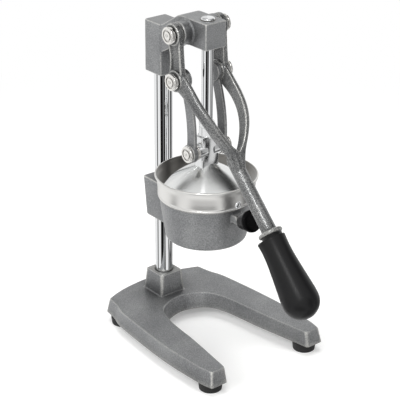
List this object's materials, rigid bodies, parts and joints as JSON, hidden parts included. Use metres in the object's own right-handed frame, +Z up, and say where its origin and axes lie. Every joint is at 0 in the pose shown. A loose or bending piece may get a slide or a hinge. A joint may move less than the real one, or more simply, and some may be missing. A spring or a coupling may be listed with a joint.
{
  "type": "lever citrus juice press",
  "caption": "Free-standing press: a forked hand lever and two links drive a round plunger with a domed cone down into a strainer bowl held on a column over a horseshoe base.",
  "frame": {"origin": "middle of the footprint's bounding box, on the surface that the feet stand on, with the lever down", "axes": "+X to the operator's right, -Y towards the operator and the grip, +Z up along the column and the plunger"},
  "size_m": [0.1942, 0.3286, 0.4317],
  "materials": {
    "base": "silver grey hammered paint on cast iron",
    "head": "silver grey hammered paint on cast iron",
    "cup_holder": "silver grey hammered paint on cast iron",
    "lever": "silver grey hammered paint on cast iron",
    "link": "silver grey hammered paint on cast iron",
    "foot": "matt black rubber",
    "fastener": "plain steel",
    "set_screw": "dark steel",
    "column": "polished chrome plating",
    "bush": "turned bronze",
    "pin": "turned and chrome plated",
    "washer": "chrome plated",
    "knob": "black plastic, slightly glossy",
    "bowl": "satin stainless steel, brushed round the axis",
    "rivet": "polished",
    "strainer": "pressed stainless steel",
    "grip": "satin black plastic",
    "rod": "polished chrome plating",
    "nut": "chrome plated",
    "crosshead": "chrome plated casting",
    "stud": "plain steel",
    "press_cone": "polished chrome plating"
  },
  "bodies": {
    "frame": {"base": "base", "foot_front_left": "foot", "foot_front_right": "foot", "foot_rear_left": "foot", "foot_rear_right": "foot", "foot_screws": "fastener", "column": "column", "column_bolt": "fastener", "column_washer": "fastener", "head": "head", "head_set_screws": "set_screw", "guide_bush_upper": "bush", "guide_bush_lower": "bush", "head_pin_left": "pin", "head_pin_right": "pin", "head_washers": "washer", "cup_holder": "cup_holder", "holder_set_screws": "set_screw", "knob": "knob", "knob_stud": "fastener", "juice_bowl": "bowl", "bowl_rivet": "rivet", "strainer": "strainer"},
    "lever": {"lever": "lever", "grip": "grip", "grip_stud": "fastener"},
    "links": {"link_left": "link", "link_right": "link", "link_pin_left": "pin", "link_pin_right": "pin", "link_washers": "washer", "crosshead_pin_left": "pin", "crosshead_pin_right": "pin"},
    "plunger": {"plunger_rod": "rod", "rod_cap": "rod", "jam_nut": "nut", "crosshead": "crosshead", "crosshead_studs": "stud", "crosshead_washers": "washer", "press_cone": "press_cone", "cone_screw": "fastener"}
  },
  "joints": [
    {"name": "lever_hinge", "type": "hinge", "parent": "frame", "child": "lever", "pos_m": [0, 0.05753, 0.4118], "axis": [-1, 0, 0], "range_deg": [0, 115]},
    {"name": "link_hinge", "type": "hinge", "parent": "lever", "child": "links", "pos_m": [0, 0.05233, 0.3547], "axis": [-1, 0, 0], "range_deg": [-145, 0]},
    {"name": "plunger_slide", "type": "slide", "parent": "frame", "child": "plunger", "axis": [0, 0, 1], "range_m": [0, 0.0915]}
  ],
  "couplings": [
    {"joint": "link_hinge", "follows": "lever_hinge", "ratio": -1.2399},
    {"joint": "plunger_slide", "follows": "lever_hinge", "m_per_rad": 0.044392}
  ]
}
